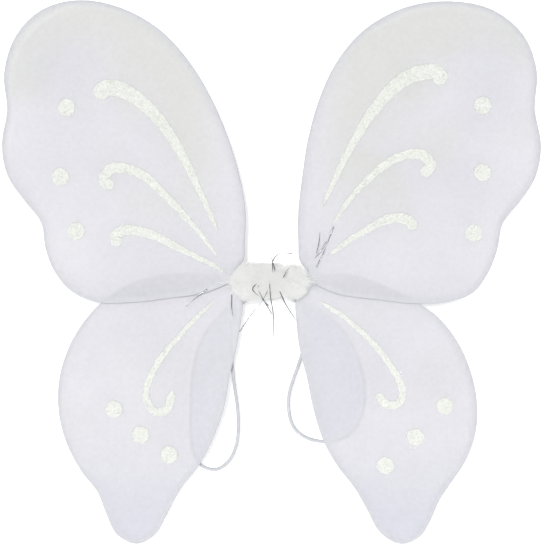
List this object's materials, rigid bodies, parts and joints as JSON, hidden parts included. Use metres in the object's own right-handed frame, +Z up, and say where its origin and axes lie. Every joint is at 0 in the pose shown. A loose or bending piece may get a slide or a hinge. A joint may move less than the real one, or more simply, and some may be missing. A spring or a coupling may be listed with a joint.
{
  "type": "fairy wings",
  "caption": "Butterfly-shaped costume wings: sheer nylon sleeves on bent wire frames, glitter curls and dots, fluffy trim with tinsel, and elastic shoulder straps.",
  "frame": {"origin": "centre of the back pad's outer face", "axes": "+X to the right as seen from the decorated side, +Y towards the wearer's back, +Z up along the wearer's spine"},
  "size_m": [0.5075, 0.0371, 0.5125],
  "materials": {
    "frame_wire": "satin steel wire",
    "nylon": "sheer white nylon stocking with a faint sheen",
    "thread": "matte white thread",
    "tape": "matte white cloth tape",
    "felt": "matte white felt",
    "fluff": "soft white feather down",
    "tinsel": "thin silver film",
    "glitter": "pearl glitter in clear glue",
    "elastic": "braided white elastic"
  },
  "bodies": {
    "middle": {"stem_wrap": "tape", "upper_left_stems": "frame_wire", "upper_right_stems": "frame_wire", "lower_left_stems": "frame_wire", "lower_right_stems": "frame_wire", "back_pad": "felt", "fur_trim": "fluff", "tinsel_middle": "tinsel"},
    "lower_left_wing": {"lower_left_wire": "frame_wire", "lower_left_sleeve": "nylon", "lower_left_binding": "thread", "lower_left_line": "glitter", "lower_left_dots": "glitter", "lower_left_tinsel": "tinsel"},
    "upper_left_wing": {"upper_left_wire": "frame_wire", "upper_left_sleeve": "nylon", "upper_left_binding": "thread", "upper_left_long_line": "glitter", "upper_left_middle_line": "glitter", "upper_left_short_line": "glitter", "upper_left_dots": "glitter", "upper_left_tinsel": "tinsel"},
    "lower_right_wing": {"lower_right_wire": "frame_wire", "lower_right_sleeve": "nylon", "lower_right_binding": "thread", "lower_right_line": "glitter", "lower_right_dots": "glitter"},
    "upper_right_wing": {"upper_right_wire": "frame_wire", "upper_right_sleeve": "nylon", "upper_right_binding": "thread", "upper_right_long_line": "glitter", "upper_right_middle_line": "glitter", "upper_right_short_line": "glitter", "upper_right_dots": "glitter", "upper_right_tinsel": "tinsel"},
    "left_strap_loop": {"left_strap": "elastic", "left_strap_hitch": "elastic"},
    "right_strap_loop": {"right_strap": "elastic", "right_strap_hitch": "elastic"}
  },
  "joints": [
    {"name": "lower_left_fold", "type": "hinge", "parent": "middle", "child": "lower_left_wing", "pos_m": [-0.024, -0.0106, 0], "axis": [0, 0, 1], "range_deg": [-5, 65]},
    {"name": "upper_left_fold", "type": "hinge", "parent": "lower_left_wing", "child": "upper_left_wing", "pos_m": [-0.024, -0.0106, 0], "axis": [0, 0, 1], "range_deg": [0, 15]},
    {"name": "left_strap_swing", "type": "hinge", "parent": "middle", "child": "left_strap_loop", "pos_m": [-0.0165, -0.0106, 0], "axis": [1, 0, 0], "range_deg": [0, 85]},
    {"name": "lower_right_fold", "type": "hinge", "parent": "middle", "child": "lower_right_wing", "pos_m": [0.024, -0.0106, 0], "axis": [0, 0, -1], "range_deg": [-5, 65]},
    {"name": "upper_right_fold", "type": "hinge", "parent": "lower_right_wing", "child": "upper_right_wing", "pos_m": [0.024, -0.0106, 0], "axis": [0, 0, -1], "range_deg": [0, 15]},
    {"name": "right_strap_swing", "type": "hinge", "parent": "middle", "child": "right_strap_loop", "pos_m": [0.0165, -0.0106, 0], "axis": [1, 0, 0], "range_deg": [0, 85]}
  ]
}
